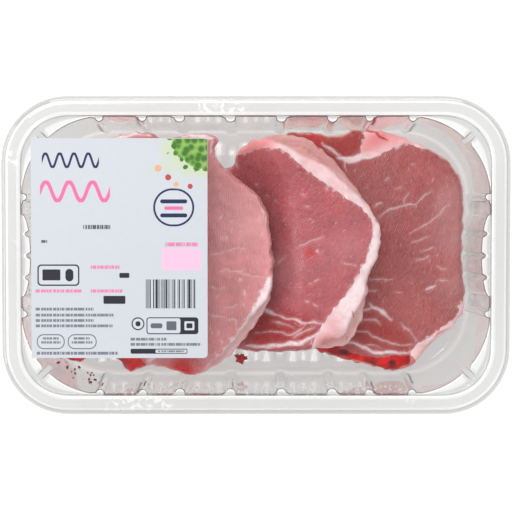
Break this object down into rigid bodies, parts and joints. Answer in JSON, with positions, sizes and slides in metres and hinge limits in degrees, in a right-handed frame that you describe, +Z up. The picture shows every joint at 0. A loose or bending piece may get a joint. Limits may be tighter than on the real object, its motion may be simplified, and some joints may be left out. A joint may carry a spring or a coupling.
{
  "type": "meat tray pack",
  "caption": "Sealed clear plastic meat tray with ribbed walls, flat lid film and paper label, holding shingled raw pork chops.",
  "frame": {"origin": "middle of the tray's underside, which the pack rests on", "axes": "+X along the pack's length with the label towards -X, +Y across the pack towards the label's top edge, +Z up"},
  "size_m": [0.23, 0.144, 0.0454],
  "materials": {
    "clear_tray": "clear thermoformed plastic, glossy, faint warm grey",
    "clear_film": "clear lid film, glossy, frosted where it is sealed",
    "label_paper": "coated paper label, satin, pale blue white",
    "lean_meat": "raw lean pork, moist, fine grain with pale marbling",
    "fat": "raw pork fat, pale pink, waxy",
    "bone": "sawn bone with red marrow, moist"
  },
  "bodies": {
    "root": {"tray": "clear_tray", "lid_film": "clear_film", "label": "label_paper", "left_chop_lean": "lean_meat", "left_chop_fat_rim": "fat", "left_chop_rib_bone": "bone", "left_chop_chine_bone": "bone", "middle_chop_lean": "lean_meat", "middle_chop_fat_rim": "fat", "right_chop_lean": "lean_meat", "right_chop_fat_cap": "fat", "right_chop_fat_tail": "fat", "right_chop_bone": "bone", "meat_scrap": "lean_meat"}
  },
  "joints": []
}
